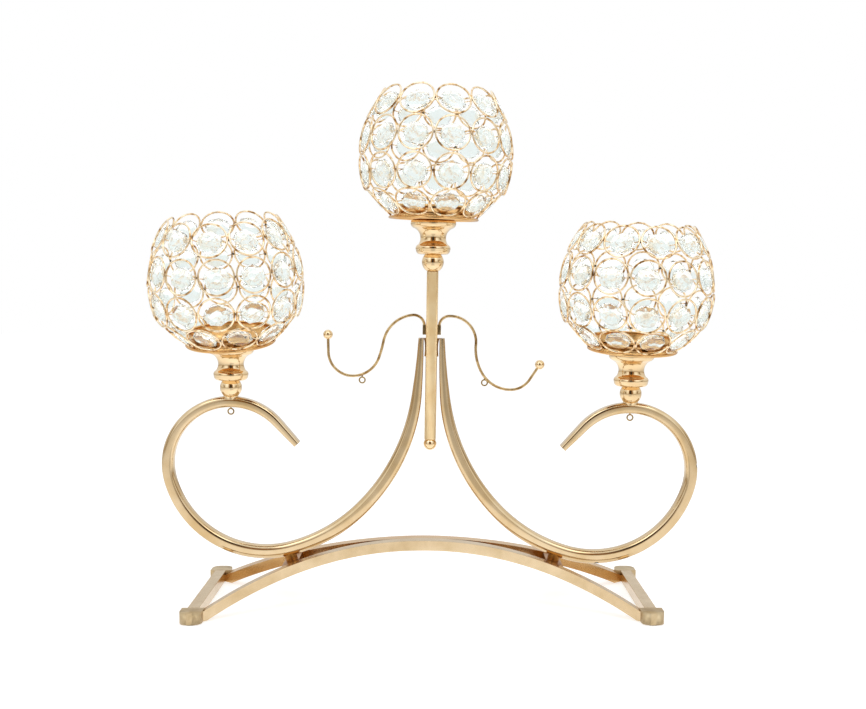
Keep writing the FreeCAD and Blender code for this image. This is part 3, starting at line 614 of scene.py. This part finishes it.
def chain_points(start, radii, turns, tail, step_deg):
    """Rows of (x, z, heading in radians) along tangent arcs and a straight tail."""
    x, z, heading = start[0], start[1], math.radians(start[2])
    rows = [(x, z, heading)]
    for radius, turn in zip(radii, turns):
        count = max(3, math.ceil(abs(turn) / step_deg))
        part = math.radians(turn) / count
        chord = 2 * radius * math.sin(abs(part) / 2)
        for _ in range(count):
            x += chord * math.cos(heading + part / 2)
            z += chord * math.sin(heading + part / 2)
            heading += part
            rows.append((x, z, heading))
    for share in (0.25, 0.5, 0.75, 1.0):
        rows.append((x + tail * share * math.cos(heading), z + tail * share * math.sin(heading), heading))
    return rows


def shares_along(rows):
    lengths = [0.0]
    for before, after in zip(rows, rows[1:]):
        lengths.append(lengths[-1] + math.hypot(after[0] - before[0], after[1] - before[1]))
    return [length / lengths[-1] for length in lengths]


def tube_share(share):
    share = min(max(share, 0.0), 1.0)
    for (low, low_width), (high, high_width) in zip(TUBE_SHARES, TUBE_SHARES[1:]):
        if share <= high:
            return low_width + (high_width - low_width) * (share - low) / (high - low)
    return TUBE_SHARES[-1][1]


def soft_tube_share(share):
    """Width share, evened out over its neighbourhood; exact at both ends."""
    reach = min(0.025, share, 1 - share)
    return sum(tube_share(share + reach * part) for part in (-1, -0.5, 0, 0.5, 1)) / 5


def rounded_outline(width, depth, steps=5):
    """Outline points (across, along Y) of the rounded square section."""
    corner = TUBE_CORNER * min(width, depth)
    points = []
    for quarter, (su, sv) in enumerate(((1, 1), (-1, 1), (-1, -1), (1, -1))):
        for step in range(steps + 1):
            angle = math.pi / 2 * (quarter + step / steps)
            points.append((su * (width / 2 - corner) + corner * math.cos(angle),
                           sv * (depth / 2 - corner) + corner * math.sin(angle)))
    return points


def sweep(bm, rows, outlines, side):
    """Skin through the outlines set square to the path, closed at both ends."""
    loops = []
    for (x, z, heading), outline in zip(rows, outlines):
        back, up = math.sin(heading), math.cos(heading)
        loops.append([bm.verts.new(Vector((side * (x - u * back), v, z + u * up)) * MM) for u, v in outline])
    skin(bm, loops)


UPPER = (Matrix.Translation(Vector((UPPER_OFFSET, 0, LEAN_CENTRE)) * MM)
         @ Matrix.Rotation(math.radians(UPPER_LEAN), 4, "Y")
         @ Matrix.Translation(Vector((0, 0, -LEAN_CENTRE)) * MM))


def swept_piece(node, build, material, cutters=()):
    """Smooth swept copy of a node in the leaning upper frame."""
    def placed(bm):
        build(bm)
        bm.transform(UPPER)
        bmesh.ops.recalc_face_normals(bm, faces=bm.faces)
    mesh = mesh_from(node + "_swept", placed)
    mesh.shade_smooth()
    mesh.set_sharp_from_angle(angle=math.radians(40))
    piece = new_object(node + "_swept", mesh, material)
    for cutter in cutters:
        modifier = piece.modifiers.new("Vent", "BOOLEAN")
        modifier.operation = "DIFFERENCE"
        modifier.object = cutter
    if cutters:
        depsgraph = bpy.context.evaluated_depsgraph_get()
        piece.data = bpy.data.meshes.new_from_object(piece.evaluated_get(depsgraph), depsgraph=depsgraph)
        piece.modifiers.clear()
        for cutter in cutters:
            bpy.data.objects.remove(cutter)
    even = piece.modifiers.new("Even shading", "WEIGHTED_NORMAL")
    even.keep_sharp = True
    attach(piece, "frame")
    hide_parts(node)
    return piece


def vent_cutter(share, radius, side, rows, shares):
    """Peg for a plating vent in the tube's outer front corner; the other tube has it at the back."""
    x, z, heading = rows[min(range(len(rows)), key=lambda k: abs(shares[k] - share))]
    slant = math.radians(VENT_SLANT)
    outward = Vector((side * math.sin(heading), 0, -math.cos(heading)))
    aim = (outward * math.sin(slant) + Vector((0, -side, 0)) * math.cos(slant)).normalized()
    centre = Vector((side * x, 0, z))

    def build(bm):
        tube(bm, (centre + aim * 1.5) * MM, (centre + aim * 8) * MM, radius * MM, 20)
        bm.transform(UPPER)
        bmesh.ops.recalc_face_normals(bm, faces=bm.faces)
    return new_object("vent_cutter", mesh_from("vent_cutter", build))


def scroll_tube(name, side):
    rows = chain_points(SCROLL["start"], SCROLL["radii"], SCROLL["turns"], SCROLL["tail"], 2.0)
    shares = shares_along(rows)
    outlines = [rounded_outline(TUBE_SIZE * soft_tube_share(share), TUBE_SIZE) for share in shares]
    cutters = [vent_cutter(share, radius, side, rows, shares) for share, radius in VENTS]
    swept_piece(name + "_scroll", lambda bm: sweep(bm, rows, outlines, side), gold_tube, cutters)


def hook_arm(name, side):
    chain = HOOKS[name]
    width, depth, height = HOOK_TAB
    start_x = POST_SIZE / 2 + width / 2
    top = HOOK_ROOT + height
    rows = chain_points((start_x, top - HOOK_WIRE, 90.0), chain["radii"], chain["turns"], chain["tail"], 4.0)

    def build(bm):
        sweep(bm, rows, [circle(HOOK_WIRE, 16)] * len(rows), side)
        tab = bmesh.ops.create_cube(bm, size=1.0)["verts"]
        for vertex in tab:
            vertex.co = Vector((side * start_x + vertex.co.x * width, vertex.co.y * depth,
                                HOOK_ROOT + height / 2 + vertex.co.z * height)) * MM
        edges = list({edge for vertex in tab for edge in vertex.link_edges})
        bmesh.ops.bevel(bm, geom=edges, offset=0.35 * MM, segments=3, affect="EDGES", profile=0.5)
    swept_piece(name + "_hook_arm", build, gold_hook)


for side, sign in (("left", -1), ("right", 1)):
    scroll_tube(side, sign)
    hook_arm(side, sign)
    for piece in ("_hook_ball", "_stem_washer"):
        polished(side + piece, "frame", gold_turned)
    for piece in ("_hook_eyelet", "_scroll_eyelet"):
        polished(side + piece, "frame", gold_eyelet)
    for piece in ("_spacer", "_side_plate"):
        polished(side + piece, "frame", gold_dark)
    polished(side + "_foot_bar", "frame", gold_bar, soft_edge=0.35)
    polished(side + "_bridge", "frame", gold_dark, soft_edge=0.3)
    for end in ("front_", "rear_"):
        polished(end + side + "_foot", "frame", gold_foot)
# The rear bar takes the plating with the painted reflection of the front bar
for end, material in (("front", gold_bar), ("rear", gold_bar_painted_reflection)):
    polished(end + "_arch_bar", "frame", material, soft_edge=0.9)
polished("centre_post", "frame", gold_post)
polished("post_finial", "frame", gold_turned)
polished("base_bolts", "frame", bolt_steel)
polished("foot_pads", "frame", pad_material)
for side in BOWLS:
    polished(side + "_stem_ball", "frame", gold_turned)
    turned_collar(side)
    polished(side + "_tray_shim", "frame", gold_dark)
    polished(side + "_tray_screw", "frame", bolt_steel)
    polished(side + "_tray", side + "_bowl", gold_tray)


# Studio: white floor and light tent, three soft boxes and the dark opening round the lens

WHITE = (1.0, 1.0, 1.0, 1.0)
FLOOR_GLOW = 0.66
FLOOR_MATTE = (0.6, 0.6, 0.6, 1.0)
FLOOR_PLAIN = (0.82, 0.82, 0.82, 1.0)
FLOOR_IN_POLISH = (0.97, 1.0, 1.06, 1.0)
WALLS = [(0.0, (0.7, 0.7, 0.7, 1)), (0.475, (0.56, 0.5, 0.43, 1)), (0.515, (0.6, 0.54, 0.46, 1)),
         (0.54, (0.82, 0.82, 0.82, 1)), (0.68, (0.9, 0.92, 0.95, 1)), (0.8, (1.05, 1.1, 1.18, 1)),
         (1.0, (1.08, 1.14, 1.24, 1))]
STAND_TINT = (0.42, 0.33, 0.22, 1.0)
BOX_TINT = (1.32, 1.4, 1.5, 1.0)
SPOT_GLOW = (2.6, 2.7, 2.85, 1.0)
SPOT_WAYS = [(0.36, -0.58, 0.73), (-0.42, -0.52, 0.74)]
BEHIND_GLASS = (0.88, 0.94, 0.935, 1.0)
TENT_LIGHT = 0.62


def studio_white(name):
    """White to the camera, in polish and through glass, with the soft shadow kept."""
    material = bpy.data.materials.new(name)
    material.use_nodes = True
    tree = material.node_tree
    tree.nodes.clear()
    light = tree.nodes.new("ShaderNodeLightPath").outputs
    inside = math_node(tree, "GREATER_THAN", light["Transmission Depth"], 0.5)
    seen = math_node(tree, "MAXIMUM", light["Is Camera Ray"], light["Is Glossy Ray"])
    seen = math_node(tree, "MAXIMUM", seen, inside)
    polish = math_node(tree, "MULTIPLY", light["Is Glossy Ray"], math_node(tree, "SUBTRACT", 1.0, inside))

    # In polish the floor fades with distance and is dimmer below the lens
    place = tree.nodes.new("ShaderNodeNewGeometry").outputs["Position"]
    away = add_node(tree, "ShaderNodeVectorMath", {"operation": "LENGTH"}, Vector=place).outputs["Value"]
    fading = add_node(tree, "ShaderNodeMapRange", Value=away, From_Min=0.12, From_Max=0.8,
                      To_Min=FLOOR_GLOW * 1.1, To_Max=FLOOR_GLOW * 0.5).outputs[0]
    apart = add_node(tree, "ShaderNodeSeparateXYZ", Vector=place).outputs
    aside = add_node(tree, "ShaderNodeMapRange", Value=math_node(tree, "ABSOLUTE", apart["X"]), From_Min=0.10,
                     From_Max=0.17, To_Min=0.3, To_Max=1.0).outputs[0]
    near = add_node(tree, "ShaderNodeMapRange", Value=apart["Y"], From_Min=-0.36, From_Max=-0.28).outputs[0]
    fading = math_node(tree, "MULTIPLY", fading, math_node(tree, "MAXIMUM", aside, near))
    strength = add_node(tree, "ShaderNodeMapRange", Value=polish, To_Min=FLOOR_GLOW, To_Max=fading).outputs[0]
    shine = add_node(tree, "ShaderNodeEmission", Color=mix_colour(tree, polish, WHITE, FLOOR_IN_POLISH),
                     Strength=strength)

    both = tree.nodes.new("ShaderNodeAddShader")
    tree.links.new(add_node(tree, "ShaderNodeBsdfDiffuse", Color=FLOOR_MATTE).outputs[0], both.inputs[0])
    tree.links.new(shine.outputs[0], both.inputs[1])
    plain = add_node(tree, "ShaderNodeBsdfDiffuse", Color=FLOOR_PLAIN)
    out = tree.nodes.new("ShaderNodeOutputMaterial")
    tree.links.new(mix_shader(tree, seen, plain.outputs[0], both.outputs[0]), out.inputs[0])
    return material


def floor_mesh(bm):
    bmesh.ops.create_circle(bm, cap_ends=True, segments=96, radius=4.0)


floor = new_object("studio_floor", mesh_from("studio_floor", floor_mesh), studio_white("Studio white"))


def world_light():
    """White behind the object; in polish, a tent with dark stands, tall pale boxes and two bright spots."""
    world = bpy.data.worlds.new("Light tent")
    bpy.context.scene.world = world
    world.use_nodes = True
    tree = world.node_tree
    tree.nodes.clear()
    light = tree.nodes.new("ShaderNodeLightPath").outputs
    way = tree.nodes.new("ShaderNodeTexCoord").outputs["Generated"]
    apart = add_node(tree, "ShaderNodeSeparateXYZ", Vector=way).outputs
    rise = math_node(tree, "ADD", math_node(tree, "MULTIPLY", apart["Z"], 0.5), 0.5)
    sideways = math_node(tree, "ABSOLUTE", apart["X"])
    ahead = math_node(tree, "LESS_THAN", apart["Y"], 0.0)

    panels = WHITE
    for across, upward, tint in (
            (band(tree, sideways, 0.80, 0.87, 0.93, 0.97), band(tree, rise, 0.5, 0.53, 0.64, 0.72), STAND_TINT),
            (band(tree, sideways, 0.34, 0.40, 0.66, 0.74), band(tree, rise, 0.5, 0.54, 0.78, 0.86), BOX_TINT)):
        share = math_node(tree, "MULTIPLY", math_node(tree, "MULTIPLY", across, upward), ahead)
        panels = mix_colour(tree, share, panels, tint)
    tent = mix_colour(tree, 1.0, ramp(tree, rise, WALLS), panels, blend="MULTIPLY")
    for spot_way in SPOT_WAYS:
        facing = add_node(tree, "ShaderNodeVectorMath", {"operation": "DOT_PRODUCT"}, Vector=way)
        facing.inputs[1].default_value = Vector(spot_way).normalized()
        spot = add_node(tree, "ShaderNodeMapRange", Value=facing.outputs["Value"], From_Min=0.975,
                        From_Max=0.988).outputs[0]
        tent = mix_colour(tree, spot, tent, SPOT_GLOW)

    inside = math_node(tree, "GREATER_THAN", light["Transmission Depth"], 0.5)
    seen = math_node(tree, "MAXIMUM", light["Is Camera Ray"], inside)
    surround, diffuse, backdrop = (
        add_node(tree, "ShaderNodeBackground", Color=colour, Strength=strength).outputs[0]
        for colour, strength in ((tent, 1.0), (WHITE, TENT_LIGHT),
                                 (mix_colour(tree, inside, WHITE, BEHIND_GLASS), 1.0)))
    lit = mix_shader(tree, light["Is Glossy Ray"], diffuse, surround)
    out = tree.nodes.new("ShaderNodeOutputWorld")
    tree.links.new(mix_shader(tree, seen, lit, backdrop), out.inputs[0])


def soft_box(name, place, target, width, height, power):
    lamp = bpy.data.lights.new(name, "AREA")
    lamp.shape = "RECTANGLE"
    lamp.size = width
    lamp.size_y = height
    lamp.energy = power
    light = bpy.data.objects.new(name, lamp)
    light.location = place
    light.rotation_euler = (Vector(target) - Vector(place)).to_track_quat("-Z", "Y").to_euler()
    light.visible_glossy = False
    bpy.context.scene.collection.objects.link(light)


world_light()
soft_box("Top box", (0.0, -0.15, 1.25), (0.0, 0.0, 0.1), 1.1, 0.9, 6.0)
soft_box("Left box", (-1.0, -0.7, 0.65), (0.0, 0.0, 0.18), 0.5, 0.8, 2.6)
soft_box("Right box", (1.0, -0.7, 0.65), (0.0, 0.0, 0.18), 0.5, 0.8, 2.6)

OPENING_HALF_WIDTH = 0.33
OPENING_Y = -0.80
OPENING_HEIGHTS = (0.14, 0.80)


def lens_opening(bm):
    """The dark opening that the camera looks through, seen only in polish."""
    (low, high), reach = OPENING_HEIGHTS, OPENING_HALF_WIDTH
    bm.faces.new([bm.verts.new((x, OPENING_Y, z))
                  for x, z in ((-reach, low), (reach, low), (reach, high), (-reach, high))])


def opening_dark():
    """Near black with brown sides in polish, and not there for what has passed through glass."""
    material, tree, shader = new_material("Dark opening")
    place = tree.nodes.new("ShaderNodeTexCoord").outputs["Object"]
    aside = math_node(tree, "ABSOLUTE", add_node(tree, "ShaderNodeSeparateXYZ", Vector=place).outputs["X"])
    link_value(tree, shader.inputs["Base Color"], ramp(tree, aside, [(0.08, (0.03, 0.028, 0.025, 1.0)),
                                                                    (0.20, (0.36, 0.20, 0.08, 1.0))]))
    shader.inputs["Roughness"].default_value = 0.9
    depth = tree.nodes.new("ShaderNodeLightPath").outputs["Transmission Depth"]
    clear = tree.nodes.new("ShaderNodeBsdfTransparent")
    mixed = mix_shader(tree, math_node(tree, "GREATER_THAN", depth, 0.5), shader.outputs[0], clear.outputs[0])
    tree.links.new(mixed, tree.nodes["Material Output"].inputs[0])
    return material


opening = new_object("studio_opening", mesh_from("studio_opening", lens_opening), opening_dark())
opening.visible_camera = False
opening.visible_diffuse = False
opening.visible_transmission = False
opening.visible_shadow = False

# Camera: metres, and degrees below level
CAMERA_PLACE = (0.00164, -0.757, 0.2283)
CAMERA_PITCH = 4.07
camera_data = bpy.data.cameras.new("Camera")
camera_data.sensor_width = 36.0
camera_data.lens = 45.19
camera = bpy.data.objects.new("Camera", camera_data)
camera.location = CAMERA_PLACE
camera.rotation_euler = (math.radians(90 - CAMERA_PITCH), 0, 0)
bpy.context.scene.collection.objects.link(camera)
bpy.context.scene.camera = camera
bpy.context.scene.view_settings.view_transform = "Standard"
